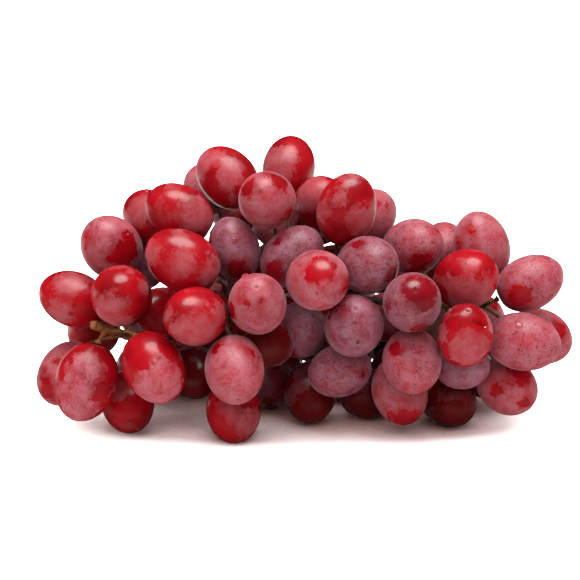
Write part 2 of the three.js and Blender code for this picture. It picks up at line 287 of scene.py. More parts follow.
@dataclass
class Effects:
    """The patterns that more than one finish uses, as node groups built once.

    Their places are in millimetres, so a scale of 0.1 makes features about 10 mm wide.
    """

    film: bpy.types.NodeTree = field(init=False)
    specks: bpy.types.NodeTree = field(init=False)

    def __post_init__(self) -> None:
        """Build the groups."""
        self.film = self._build_film()
        self.specks = self._build_specks()

    @staticmethod
    def _build_film() -> bpy.types.NodeTree:
        """Build the waxy film: patches with ragged edges, crisp in places and soft in others.

        Returns:
            The group.
        """
        group, nodes, given = new_group(
            "waxy_film",
            [("Place", "Vector", 0.0), ("Wiped", "Float", -1.0), ("Filmed", "Float", -1.0),
             ("Cover", "Float", 0.6)],
            [("Film", "Float"), ("Thick", "Float"), ("Height", "Float")],
        )
        place = given["Place"]
        broad = nodes.noise(place, 0.11, 2.0, 0.45, 0.6)
        ragged = nodes.noise(place, 0.34, 3.0, 0.52, 0.35)
        fine = nodes.noise(place, 1.3, 3.0, 0.6)
        wander = 0.0
        for pattern, swing in ((ragged, 1.2), (broad, 1.2), (fine, 0.8)):
            off = nodes.math("MULTIPLY_ADD", pattern, swing, -swing / 2)
            wander = nodes.math("ADD", wander, off)
        softness = nodes.step(nodes.noise(place, 0.2, 1.0), 0.38, 0.62)
        edge = nodes.math("MULTIPLY_ADD", softness, 0.40, 0.14)
        past_edge = nodes.math("MULTIPLY", edge, -1.0)
        cloud = nodes.math("ADD", nodes.math("MULTIPLY_ADD", broad, 2.2, -1.6), given["Cover"])
        clouds = nodes.step(nodes.math("MULTIPLY_ADD", wander, 0.4, cloud), past_edge, edge)
        filmed = nodes.step(nodes.math("ADD", given["Filmed"], wander), past_edge, edge)
        wiped = nodes.step(nodes.math("ADD", given["Wiped"], wander), past_edge, edge)
        laid = nodes.math("MAXIMUM", clouds, filmed)
        film = nodes.math("MULTIPLY", laid, nodes.math("SUBTRACT", 1.0, wiped))
        streaks = nodes.noise(place, 0.24, 5.0, 0.65, 0.5)
        thick = nodes.math("MULTIPLY_ADD", streaks, 0.65, nodes.math("MULTIPLY", fine, 0.35))
        height = nodes.math("MULTIPLY_ADD", film, 0.6, nodes.math("MULTIPLY", fine, 0.25))
        end = group.nodes.new("NodeGroupOutput")
        for name, value in (("Film", film), ("Thick", thick), ("Height", height)):
            nodes.join(value, end.inputs[name])
        return group

    @staticmethod
    def _build_specks() -> bpy.types.NodeTree:
        """Build small dark specks in loose clusters.

        Returns:
            The group.
        """
        group, nodes, given = new_group(
            "dark_specks",
            [("Place", "Vector", 0.0), ("Amount", "Float", 0.5), ("Size", "Float", 0.36)],
            [("Speck", "Float")],
        )
        grid = {"Vector": given["Place"], "Scale": 0.95, "Randomness": 1.0}
        cells = nodes.fed("TexVoronoi", grid, feature="F1")
        sizes = nodes.math("MULTIPLY", given["Size"], nodes.math("ADD", cells.outputs["Color"], 0.25))
        core = nodes.math("MULTIPLY", sizes, 0.6)
        dots = nodes.math("SUBTRACT", 1.0, nodes.step(cells.outputs["Distance"], core, sizes))
        clusters = nodes.noise(given["Place"], 0.22, 2.0, 0.5)
        least = nodes.math("SUBTRACT", 0.85, nodes.math("MULTIPLY", given["Amount"], 0.6))
        gate = nodes.step(clusters, least, nodes.math("ADD", least, 0.06))
        end = group.nodes.new("NodeGroupOutput")
        nodes.join(nodes.math("MULTIPLY", dots, gate), end.inputs["Speck"])
        return group


# ---------------------------------------------------------------- finishes


SPECK_COLOUR: Colour = (0.035, 0.002, 0.008, 1.0)
SCAR_COLOUR: Colour = (0.035, 0.008, 0.005, 1.0)
SHEEN_TINT: Colour = (1.0, 0.80, 0.90, 1.0)
SKIN_IOR = 1.44
FLESH_DEPTH = 5.5 * MM  # how far red light runs through the flesh
FLESH_REACH = (1.0, 0.14, 0.10)  # and the share of it that red, green and blue light run


@dataclass(frozen=True)
class SkinFinish:
    """How the skin of a berry looks.

    Args:
        name: The material's name.
        flesh: The colour of bare skin with the flesh behind it.
        bloom: The colour of the skin under its waxy film.
        cover: How much of the skin the film covers where nothing has touched it.
        specks: How many dark specks it has, from 0 to 1.
        glow: How much light passes through the flesh.
        shine: The roughness of bare skin.
        bloom_shine: The roughness of the film.
    """

    name: str
    flesh: Colour
    bloom: Colour
    cover: float
    specks: float
    glow: float
    shine: float
    bloom_shine: float

    def material(self, effects: Effects) -> bpy.types.Material:
        """Build the material.

        Args:
            effects: The shared patterns.

        Returns:
            The skin's material.
        """
        made, nodes = new_material(self.name)
        place = nodes.attribute("skin_place", vector=True)
        scar = nodes.attribute("skin_scar")

        film = nodes.add("Group", node_tree=effects.film)
        nodes.join(place, film.inputs["Place"])
        nodes.join(nodes.attribute("skin_wiped"), film.inputs["Wiped"])
        nodes.join(nodes.attribute("skin_filmed"), film.inputs["Filmed"])
        nodes.join(self.cover, film.inputs["Cover"])
        specks = nodes.add("Group", node_tree=effects.specks)
        nodes.join(place, specks.inputs["Place"])
        nodes.join(self.specks, specks.inputs["Amount"])

        depth = nodes.noise(place, 0.09, 2.0)
        dark = tuple(0.62 * part for part in self.flesh[:3]) + (1.0,)
        flesh = nodes.blend(nodes.step(depth, 0.38, 0.72), self.flesh, dark)
        thick = nodes.step(film.outputs["Thick"], 0.34, 0.64)
        veil = nodes.math("MULTIPLY", film.outputs["Film"], nodes.math("MULTIPLY_ADD", thick, 0.80, 0.16))
        colour = nodes.blend(veil, flesh, self.bloom)
        speck = nodes.math("MULTIPLY", specks.outputs["Speck"], 0.8)
        colour = nodes.blend(speck, colour, SPECK_COLOUR)
        colour = nodes.blend(nodes.math("MULTIPLY", scar, 0.75), colour, SCAR_COLOUR)

        rough = nodes.math("MULTIPLY_ADD", film.outputs["Film"], self.bloom_shine - self.shine, self.shine)
        skin = nodes.fed("BsdfPrincipled", {
            "Base Color": colour,
            "Roughness": rough,
            "IOR": SKIN_IOR,
            "Subsurface Weight": self.glow,
            "Subsurface Radius": FLESH_REACH,
            "Subsurface Scale": FLESH_DEPTH,
            "Sheen Weight": nodes.math("MULTIPLY", veil, 0.16),
            "Sheen Roughness": 0.4,
            "Sheen Tint": SHEEN_TINT,
            "Normal": nodes.bump(film.outputs["Height"], 0.25, 0.08 * MM),
        })
        nodes.fed("OutputMaterial", {0: skin.outputs[0]})
        return made


class Skin(Enum):
    """The finishes that the berries of the bunch have."""

    RUBY = SkinFinish(
        "skin_ruby", (0.265, 0.0012, 0.005, 1.0), (0.285, 0.054, 0.066, 1.0),
        cover=0.0, specks=0.3, glow=0.6, shine=0.25, bloom_shine=0.40,
    )
    BLUSH = SkinFinish(
        "skin_blush", (0.27, 0.0012, 0.005, 1.0), (0.32, 0.090, 0.112, 1.0),
        cover=0.0, specks=0.4, glow=0.6, shine=0.25, bloom_shine=0.42,
    )
    ROSE = SkinFinish(
        "skin_rose", (0.255, 0.0012, 0.005, 1.0), (0.295, 0.079, 0.099, 1.0),
        cover=1.5, specks=0.45, glow=0.5, shine=0.25, bloom_shine=0.42,
    )
    FRECKLED = SkinFinish(
        "skin_freckled", (0.255, 0.0012, 0.005, 1.0), (0.285, 0.081, 0.105, 1.0),
        cover=1.5, specks=1.0, glow=0.5, shine=0.25, bloom_shine=0.42,
    )
    LILAC = SkinFinish(
        "skin_lilac", (0.165, 0.0012, 0.006, 1.0), (0.215, 0.081, 0.112, 1.0),
        cover=1.5, specks=0.35, glow=0.3, shine=0.24, bloom_shine=0.44,
    )
    DUSK = SkinFinish(
        "skin_dusk", (0.165, 0.0012, 0.006, 1.0), (0.210, 0.075, 0.098, 1.0),
        cover=1.5, specks=1.0, glow=0.3, shine=0.24, bloom_shine=0.44,
    )
    # A darker copy of the red skin for berries low in the bunch: painted shade.
    SHADED_WINE = SkinFinish(
        "skin_shaded_wine", (0.085, 0.0012, 0.002, 1.0), (0.120, 0.023, 0.030, 1.0),
        cover=0.5, specks=0.4, glow=0.4, shine=0.24, bloom_shine=0.42,
    )


# ---------------------------------------------------------------- berries


@dataclass(frozen=True)
class BerryForm:
    """The place, tilt and size of one berry.

    Args:
        centre: The berry's middle.
        tip_way: The unit vector from its middle to its blossom tip.
        radius: Half its width.
        half: Half its length.
    """

    centre: Vector
    tip_way: Vector
    radius: float
    half: float

    @property
    def tail(self) -> Vector:
        """The end that hangs on the pedicel."""
        return self.centre - self.tip_way * self.half

    def reach(self, way: Vector) -> float:
        """How far the berry reaches from its middle along a unit vector."""
        return math.sqrt(self.radius**2 + (self.half**2 - self.radius**2) * self.tip_way.dot(way) ** 2)

    def skin_point(self, way: Vector) -> Vector:
        """The point of the skin that lies in a direction from the middle."""
        along = way.dot(self.tip_way)
        across = math.sqrt(max(1.0 - along**2, 0.0))
        return self.centre + way / math.hypot(along / self.half, across / self.radius)

    def skin_normal(self, point: Vector) -> Vector:
        """The outward normal at a point of the skin."""
        offset = point - self.centre
        along = self.tip_way * offset.dot(self.tip_way)
        return (along / self.half**2 + (offset - along) / self.radius**2).normalized()


class BerryFinder:
    """Reads the berries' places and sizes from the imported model."""

    LOBES = 4  # berries in a pressed row
    ROUNDS = 12  # of sharing the points out by nearest centre
    FITS = 70  # steps of fitting the eggs to them
    LENGTH_RATIO = 1.28
    FIRST_RADIUS = 9.1 * MM
    FIRST_SLACK, LEAST_SLACK, TIGHTENING = 0.3, 0.01, 0.93
    STRIDE = 0.7  # share of each step that is taken
    WIDEST = 0.97  # share of the radius beyond which a point is on the widest ring

    @staticmethod
    def _points(node: bpy.types.Object) -> np.ndarray:
        """The different corner points of a node's mesh."""
        flat = np.empty(len(node.data.vertices) * 3)
        node.data.vertices.foreach_get("co", flat)
        return np.unique(flat.reshape(-1, 3).round(6), axis=0)

    @staticmethod
    def _form(points: np.ndarray) -> BerryForm:
        """Work out a berry from the corner points of its egg.

        Args:
            points: The corner points, with both ends of the egg among them.

        Returns:
            The berry's form.
        """
        gaps = np.linalg.norm(points[:, None] - points[None], axis=2)
        first, second = np.unravel_index(gaps.argmax(), gaps.shape)
        middle = (points[first] + points[second]) / 2
        axis = points[second] - points[first]
        half = np.linalg.norm(axis) / 2
        axis /= 2 * half
        along = (points - middle) @ axis
        out = np.linalg.norm(points - middle - along[:, None] * axis, axis=1)
        radius = out.max()
        if along[out > BerryFinder.WIDEST * radius].mean() > 0:
            axis = -axis
        return BerryForm(Vector(middle), Vector(axis), float(radius), float(half))

    def _misses(self, points: np.ndarray, egg: np.ndarray) -> np.ndarray:
        """How far each point lies off the skin of an egg.

        Args:
            points: The points.
            egg: The egg's middle, its unnormalised axis and its radius, as seven numbers.

        Returns:
            The distance of each point outside the skin, as a share of the radius.
        """
        axis = egg[3:6] / np.linalg.norm(egg[3:6])
        offset = points - egg[:3]
        along = offset @ axis
        out = np.linalg.norm(offset - along[:, None] * axis, axis=1)
        return np.hypot(along / self.LENGTH_RATIO, out) / egg[6] - 1

    def _refit(self, points: np.ndarray, egg: np.ndarray, slack: float) -> np.ndarray:
        """Move an egg one step nearer to the points, heeding most those that lie on its skin.

        Args:
            points: The points.
            egg: The egg, as in _misses.
            slack: How far off a point may lie before it is heeded less.

        Returns:
            The egg after the step.
        """
        miss = self._misses(points, egg)
        nudge = np.array([0.01 * MM] * 3 + [0.001] * 3 + [0.01 * MM])
        slope = np.array([(self._misses(points, egg + nudge * turn) - miss) / size
                          for turn, size in zip(np.eye(7), nudge)]).T
        trust = 1 / (1 + (miss / slack) ** 2)
        scaled = slope * trust[:, None] * nudge
        step = np.linalg.solve(scaled.T @ scaled + 1e-9 * np.eye(7), -scaled.T @ (miss * trust))
        moved = egg + self.STRIDE * step * nudge
        moved[3:6] /= np.linalg.norm(moved[3:6])
        return moved

    def _row(self, points: np.ndarray) -> list[BerryForm]:
        """Work out the berries of a pressed row, whose tips all point back.

        Args:
            points: The corner points of the joined eggs.

        Returns:
            The berries' forms from one end of the row to the other.
        """
        mean = points.mean(0)
        line = np.linalg.svd(points - mean, full_matrices=False)[2][0]
        line *= np.sign(line[0])
        run = (points - mean) @ line
        cuts = np.quantile(run, (np.arange(self.LOBES) + 0.5) / self.LOBES)
        centres = mean + cuts[:, None] * line
        for _ in range(self.ROUNDS):
            nearest = np.linalg.norm(points[:, None] - centres[None], axis=2).argmin(1)
            centres = np.array([points[nearest == lobe].mean(0) for lobe in range(self.LOBES)])
        eggs = [np.array([*centre, 0.0, 1.0, 0.0, self.FIRST_RADIUS]) for centre in centres]
        for turn in range(self.FITS):
            nearest = np.abs([self._misses(points, egg) for egg in eggs]).argmin(0)
            slack = max(self.FIRST_SLACK * self.TIGHTENING**turn, self.LEAST_SLACK)
            eggs = [self._refit(points[nearest == lobe], egg, slack) for lobe, egg in enumerate(eggs)]
        forms = []
        for egg in eggs:
            tip_way = Vector(egg[3:6] * math.copysign(1.0, egg[4]))
            forms.append(BerryForm(Vector(egg[:3]), tip_way, egg[6], egg[6] * self.LENGTH_RATIO))
        return forms

    def find(self, name: str, node: bpy.types.Object) -> list[BerryForm]:
        """Find the berries that a node stands for.

        Args:
            name: The node's name.
            node: The node's object.

        Returns:
            One berry, or the berries of a pressed row from one end to the other.
        """
        points = self._points(node)
        return [self._form(points)] if name.startswith("berry_") else self._row(points)


@dataclass(frozen=True)
class Spot:
    """A round spot of a berry's skin, placed as it is seen from the front, a little above.

    Args:
        across: How far it lies to the right of the middle, as a share of the berry's radius.
        up: How far it lies above the middle, as a share of the radius.
        size: Its angular radius, in degrees.
    """

    across: float
    up: float
    size: float

    @property
    def way(self) -> Vector:
        """The unit vector from the berry's middle to the spot."""
        tilt = math.radians(FRONT_TILT)
        depth = math.sqrt(max(1.0 - self.across**2 - self.up**2, 0.0))
        right = Vector((1, 0, 0))
        top = Vector((0, math.sin(tilt), math.cos(tilt)))
        front = Vector((0, -math.cos(tilt), math.sin(tilt)))
        return (right * self.across + top * self.up + front * depth).normalized()

    def inside(self, way: Vector) -> float:
        """How far inside the spot a direction lies: above 0 inside, 0 on its edge, less outside."""
        return (math.radians(self.size) - way.angle(self.way)) / SPOT_FADE


def spots(*places: tuple[float, float, float]) -> tuple[Spot, ...]:
    """Make spots.

    Args:
        *places: The across, up and size of each.

    Returns:
        The spots.
    """
    return tuple(Spot(*place) for place in places)


@dataclass(frozen=True)
class Coat:
    """What a berry wears: its finish, and where its bloom is wiped off or lies on.

    Args:
        skin: The finish.
        wiped: The spots without film.
        filmed: The spots with film.
    """

    skin: Skin
    wiped: tuple[Spot, ...] = ()
    filmed: tuple[Spot, ...] = ()


@dataclass
class Berry:
    """One berry: an egg with a blossom scar at its tip and a hollow at its stem end."""

    name: str
    form: BerryForm
    coat: Coat
    seed: int
    segments: int = 64
    rings: int = 44
    tip_share: float = 0.52
    lump: float = 0.012
    slimmer: float = 0.985
    shorter: float = 0.99
    crowding: float = 0.2
    scar_angle: float = 0.04
    rim_angle: float = 0.12
    stem_angle: float = 0.26
    piece: Optional[bpy.types.Object] = None

    def _profile(self, unit: Vector) -> Vector:
        """Move a point of the unit ball to the berry's own shape, tip along +Z.

        Args:
            unit: The point on the unit ball.

        Returns:
            The point in metres, about the berry's middle.
        """
        angle = math.acos(max(-1.0, min(1.0, unit.z)))
        angle -= self.crowding * math.sin(2 * angle)
        turn = math.atan2(unit.y, unit.x)
        tip_half = 2 * self.form.half * self.tip_share
        tail_half = 2 * self.form.half - tip_half
        along, out = math.cos(angle), math.sin(angle)
        height = along * (tip_half if along > 0 else tail_half) + self.form.half - tip_half
        from_tail = math.pi - angle
        height += 0.55 * MM * math.exp(-((from_tail / self.stem_angle) ** 2))
        height += 0.10 * MM * math.exp(-(((angle - self.rim_angle) / 0.035) ** 2))
        height -= 0.16 * MM * math.exp(-((angle / 0.07) ** 2))
        way = Vector((out * math.cos(turn), out * math.sin(turn), along))
        swell = 1.0 + self.lump * noise.noise(way * 1.4 + Vector((self.seed, 0, 0)))
        radius = self.form.radius * self.slimmer * swell
        return Vector((way.x * radius, way.y * radius, height * self.shorter))

    def _turned(self) -> Matrix:
        """The rotation that lays +Z along the berry's axis, with a turn of its own."""
        lay = Vector((0, 0, 1)).rotation_difference(self.form.tip_way)
        spin = Quaternion((0, 0, 1), 2.4 * self.seed)
        return (lay @ spin).to_matrix()

    def build(self, low: Vector, high: Vector) -> bpy.types.Object:
        """Build the berry's mesh.

        Args:
            low: The lowest corner that the berry must stay inside.
            high: The highest corner.

        Returns:
            The berry's object.
        """
        shape = bmesh.new()
        bmesh.ops.create_uvsphere(shape, u_segments=self.segments, v_segments=self.rings, radius=1.0)
        place = shape.verts.layers.float_vector.new("skin_place")
        wiped = shape.verts.layers.float.new("skin_wiped")
        filmed = shape.verts.layers.float.new("skin_filmed")
        scar = shape.verts.layers.float.new("skin_scar")
        lay = self._turned()
        drift = Vector((17.3, 5.1, 9.7)) * self.seed
        for corner in shape.verts:
            angle = math.acos(max(-1.0, min(1.0, corner.co.z)))
            local = self._profile(corner.co)
            corner[place] = local / MM + drift
            past_scar = max(angle - self.scar_angle, 0.0) / self.scar_angle
            corner[scar] = math.exp(-(past_scar**2))
            corner.co = lay @ local
            way = corner.co.normalized()
            corner[wiped] = max((spot.inside(way) for spot in self.coat.wiped), default=-2.0)
            corner[filmed] = max((spot.inside(way) for spot in self.coat.filmed), default=-2.0)
        shift = Vector()
        for axis in range(3):
            reach = [corner.co[axis] + self.form.centre[axis] for corner in shape.verts]
            shift[axis] = max(low[axis] - min(reach), 0) - max(max(reach) - high[axis], 0)
        bmesh.ops.translate(shape, verts=shape.verts, vec=self.form.centre + shift)
        self.piece = new_piece(self.name, shape)
        return self.piece

    def dress(self, materials: dict[Skin, bpy.types.Material]) -> None:
        """Give the berry its skin.

        Args:
            materials: The materials by finish.
        """
        self.piece.data.materials.append(materials[self.coat.skin])
        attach(self.piece, "root")


COATS: dict[str, Coat] = {
    "left_end_1": Coat(Skin.RUBY, spots((0.5, -0.35, 30)), spots((-0.25, -0.5, 32), (0.0, 0.6, 34))),
    "left_end_2": Coat(Skin.RUBY, spots((0.65, -0.4, 26)), spots((-0.15, -0.62, 40), (0.82, 0.25, 15))),
    "left_end_3": Coat(Skin.RUBY),
    "left_end_4": Coat(Skin.ROSE, spots((-0.6, 0.05, 18), (-0.2, 0.5, 12), (-0.5, -0.5, 14))),
    "left_end_5": Coat(Skin.BLUSH, (), spots((0.0, 0.45, 34), (-0.1, -0.2, 26), (-0.15, -0.75, 30))),
    "left_end_6": Coat(Skin.RUBY, (), spots((-0.2, 0.45, 24))),
    "left_end_7": Coat(Skin.BLUSH, (), spots((0.35, 0.08, 20), (0.05, -0.62, 38), (0.6, -0.4, 24))),
    "left_shoulder_1": Coat(Skin.ROSE, spots((-0.68, 0.15, 15), (0.55, -0.3, 34), (0.62, 0.3, 16))),
    "left_shoulder_2": Coat(Skin.RUBY, (), spots((-0.5, 0.15, 34))),
    "left_shoulder_3": Coat(Skin.RUBY, spots((0.45, -0.8, 18)), spots((0.68, -0.15, 40))),
    "left_shoulder_4": Coat(
        Skin.RUBY, (), spots((-0.85, 0.2, 18), (0.08, -0.1, 24), (0.85, -0.3, 26)),
    ),
    "left_shoulder_5": Coat(Skin.RUBY),
    "crown_left_1": Coat(Skin.RUBY, (), spots((-0.8, 0.45, 24), (0.1, 0.1, 26), (-0.4, 0.7, 18))),
    "crown_left_2": Coat(Skin.ROSE),
    "crown_left_3": Coat(Skin.ROSE, spots((-0.62, 0.32, 20), (0.4, 0.5, 22), (0.75, -0.55, 20))),
    "crown_left_4": Coat(Skin.RUBY, (), spots((-0.5, 0.1, 48))),
    "crown_left_5": Coat(Skin.LILAC, spots((0.2, -0.75, 28), (-0.92, 0.15, 14))),
    "crown_right_1": Coat(Skin.RUBY, (), spots((-0.3, 0.3, 42), (0.3, -0.3, 24))),
    "crown_right_2": Coat(
        Skin.RUBY, (), spots((-0.88, -0.1, 20), (0.5, -0.4, 30), (-0.2, 0.35, 16), (0.1, 0.95, 20)),
    ),
    "crown_right_3": Coat(Skin.ROSE, spots((0.2, 0.5, 14))),
    "crown_right_4": Coat(Skin.DUSK, spots((-0.5, 0.5, 9), (-0.62, -0.5, 22))),
    "crown_right_5": Coat(Skin.DUSK, spots((-0.35, 0.72, 15), (0.72, -0.35, 20))),
    "belly_left_1": Coat(Skin.RUBY, (), spots((0.85, 0.15, 18), (0.0, -0.65, 42))),
    "belly_left_2": Coat(Skin.ROSE, spots((-0.92, -0.2, 22), (0.15, 0.1, 11), (-0.3, 0.0, 8))),
    "belly_left_3": Coat(Skin.SHADED_WINE, spots((0.0, 0.0, 70))),
    "belly_left_4": Coat(Skin.ROSE, spots((-0.62, 0.72, 13), (0.62, 0.55, 9))),
    "belly_left_5": Coat(Skin.RUBY, spots((-0.5, -0.5, 34)), spots((-0.2, 0.0, 26), (0.55, -0.3, 26))),
    "belly_left_6": Coat(Skin.SHADED_WINE, spots((0.0, 0.0, 70))),
    "belly_left_7": Coat(Skin.SHADED_WINE),
    "belly_middle_1": Coat(Skin.ROSE, spots((0.05, 0.3, 28), (0.85, -0.15, 26))),
    "belly_middle_2": Coat(Skin.LILAC, spots((-0.85, 0.1, 20), (-0.4, -0.85, 18))),
    "belly_middle_3": Coat(Skin.LILAC, spots((-0.6, 0.62, 22))),
    "belly_middle_4": Coat(Skin.DUSK, spots((0.8, -0.1, 12))),
    "belly_middle_5": Coat(Skin.SHADED_WINE, spots((0.2, -0.4, 40))),
    "belly_middle_6": Coat(Skin.SHADED_WINE, spots((0.0, -0.5, 40))),
    "belly_right_1": Coat(Skin.DUSK, spots((0.25, 0.3, 34), (-0.9, -0.2, 14), (0.2, -0.92, 26))),
    "belly_right_2": Coat(Skin.FRECKLED, spots((0.2, -0.45, 20), (0.82, 0.45, 15), (0.1, -0.92, 26))),
    "belly_right_3": Coat(Skin.FRECKLED, spots((-0.62, 0.42, 15))),
    "belly_right_4": Coat(Skin.ROSE, spots((0.2, -0.8, 30))),
    "right_shoulder_1": Coat(Skin.FRECKLED, spots((0.3, -0.5, 26))),
    "right_shoulder_2": Coat(Skin.ROSE, spots((-0.45, 0.5, 10), (-0.85, 0.2, 11))),
    "right_shoulder_3": Coat(Skin.RUBY, (), spots((0.0, -0.68, 46), (0.92, 0.1, 18))),
    "right_end_1": Coat(Skin.FRECKLED, spots((-0.5, -0.55, 30))),
    "right_end_2": Coat(Skin.RUBY, (), spots((0.0, -0.62, 44), (-0.9, 0.0, 18), (0.8, 0.4, 18))),
    "right_end_3": Coat(Skin.FRECKLED, spots((-0.3, 0.55, 7))),
    "right_end_4": Coat(Skin.ROSE, spots((0.5, 0.3, 18))),
    "right_end_5": Coat(Skin.LILAC),
    "right_end_6": Coat(Skin.ROSE, spots((0.3, 0.45, 26), (-0.5, -0.1, 14), (0.4, -0.4, 12))),
    "right_end_7": Coat(Skin.SHADED_WINE, spots((0.0, -0.6, 40))),
}


@dataclass
class Berries:
    """All the berries of the bunch."""

    effects: Effects
    low: Vector
    high: Vector
    berries: list[Berry] = field(default_factory=list)

    SHADED_BELOW = 18 * MM
    BACK_SKINS = (Skin.ROSE, Skin.LILAC, Skin.RUBY, Skin.ROSE)

    def build(self, nodes: dict[str, bpy.types.Object]) -> None:
        """Find and build every berry.

        Args:
            nodes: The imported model's nodes by name.
        """
        finder = BerryFinder()
        for name in sorted(nodes):
            if not name.startswith("berr"):
                continue
            forms = finder.find(name, nodes[name])
            for index, form in enumerate(forms):
                title = f"{name}_fruit" if len(forms) == 1 else f"{name}_fruit_{index + 1}"
                seed = len(self.berries) + 1
                coat = COATS.get(name.removeprefix("berry_")) or self._coat(form, seed)
                berry = Berry(title, form, coat, seed)
                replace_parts(berry.build(self.low, self.high), name)
                self.berries.append(berry)

    @staticmethod
    def _coat(form: BerryForm, seed: int) -> Coat:
        """Draw a coat for a berry at the back.

        Args:
            form: The berry's form.
            seed: The berry's own number.

        Returns:
            The coat.
        """
        chance = random.Random(seed)
        # Low berries at the back get the darker wine copy of the skin: painted shade.
        is_shaded = form.centre.z < Berries.SHADED_BELOW
        skin = Skin.SHADED_WINE if is_shaded else chance.choice(Berries.BACK_SKINS)
        drawn = []
        for _ in range(chance.randint(2, 4)):
            turn, up = chance.uniform(-math.pi, math.pi), chance.uniform(-0.9, 0.9)
            drawn.append(Spot(math.cos(turn) * math.sqrt(1 - up**2), up, chance.uniform(10, 38)))
        return Coat(skin, (), tuple(drawn)) if skin is Skin.RUBY else Coat(skin, tuple(drawn))

    def single_forms(self) -> dict[str, BerryForm]:
        """The form of every berry that has a node of its own, by the node's name."""
        alone = [berry for berry in self.berries if berry.name.endswith("_fruit")]
        return {berry.name.removesuffix("_fruit"): berry.form for berry in alone}

    def dress(self) -> None:
        """Give every berry its skin."""
        materials = {skin: skin.value.material(self.effects) for skin in Skin}
        for berry in self.berries:
            berry.dress(materials)


# ---------------------------------------------------------------- water


@dataclass(frozen=True)
class Drop:
    """One drop of water on a berry.

    Args:
        across: How far it lies to the right of the berry's middle, as a share of the radius.
        up: How far it lies above the middle, as a share of the radius.
        radius: Half its width, in millimetres.
        stretch: Its length as a multiple of its width.
        lean: How far its length is turned from upright, clockwise, in degrees.
        swell: Its height above the skin as a share of its half width.
    """

    across: float
    up: float
    radius: float
    stretch: float = 1.0
    lean: float = 0.0
    swell: float = 0.55


DROPS: dict[str, tuple[Drop, ...]] = {
    "left_shoulder_2": (Drop(-0.05, 0.88, 1.6, 1.0, 0.0, 0.9),),
    "belly_left_2": (
        Drop(-0.36, 0.84, 1.2, 1.4, 70.0, 0.7),
        Drop(-0.5, 0.45, 0.35),
        Drop(-0.35, 0.25, 0.35),
    ),
    "right_end_3": (Drop(-0.3, 0.6, 1.3, 1.6, 125.0, 0.6),),
    "right_end_2": (Drop(0.3, 0.36, 0.7, 4.2, 112.0, 0.6), Drop(-0.3, 0.25, 0.6, 2.0, 20.0)),
    "left_shoulder_4": (
        Drop(0.82, 0.12, 0.9, 1.8, 10.0),
        Drop(0.86, -0.12, 0.7, 1.3, 0.0),
        Drop(0.42, 0.6, 0.45, 1.3, 30.0),
    ),
    "left_shoulder_1": (Drop(0.62, 0.34, 0.8, 1.9, 40.0), Drop(-0.2, 0.4, 0.35)),
    "belly_left_4": (Drop(0.93, -0.3, 0.8, 1.3, 0.0),),
    "belly_left_5": (Drop(0.93, 0.1, 0.7),),
    "belly_left_1": (Drop(-0.35, 0.05, 0.6),),
    "left_end_1": (Drop(0.15, -0.22, 0.7, 1.3, 60.0), Drop(0.05, -0.5, 0.6, 1.6, 100.0)),
    "left_end_2": (Drop(-0.2, 0.3, 0.4),),
    "left_end_7": (Drop(0.25, 0.36, 0.7, 1.3, 20.0), Drop(-0.02, 0.0, 0.35)),
    "left_shoulder_3": (Drop(0.05, 0.42, 0.5), Drop(-0.7, 0.5, 0.35)),
    "crown_left_3": (Drop(0.0, 0.62, 0.8, 1.3, 20.0), Drop(-0.1, 0.8, 0.5), Drop(-0.42, 0.45, 0.35)),
    "crown_left_1": (Drop(-0.62, -0.62, 0.8, 1.4, 140.0),),
    "crown_left_4": (Drop(0.42, -0.45, 0.8, 1.4, 30.0),),
    "crown_left_5": (Drop(0.05, 0.25, 1.1, 1.0, 0.0, 0.35),),
    "crown_right_3": (Drop(0.55, 0.4, 1.1, 1.5, 10.0),),
    "crown_right_5": (Drop(0.1, 0.72, 0.6, 1.3, 60.0), Drop(0.8, -0.42, 0.5)),
    "belly_middle_1": (Drop(-0.4, 0.6, 0.4), Drop(0.0, 0.68, 0.4), Drop(-0.05, -0.35, 0.45)),
    "belly_middle_3": (Drop(-0.03, 0.1, 0.6, 1.4, 90.0), Drop(0.08, -0.5, 0.5)),
    "belly_middle_4": (Drop(0.82, -0.1, 0.8, 1.3, 0.0),),
    "belly_right_2": (Drop(-0.15, 0.55, 0.5), Drop(0.2, -0.15, 0.5)),
    "belly_right_1": (Drop(0.1, 0.4, 0.5, 2.2, 80.0),),
    "right_shoulder_2": (Drop(0.1, 0.05, 0.35),),
    "right_shoulder_3": (Drop(-0.15, 0.45, 0.5),),
    "right_end_1": (Drop(0.7, 0.5, 0.35),),
}


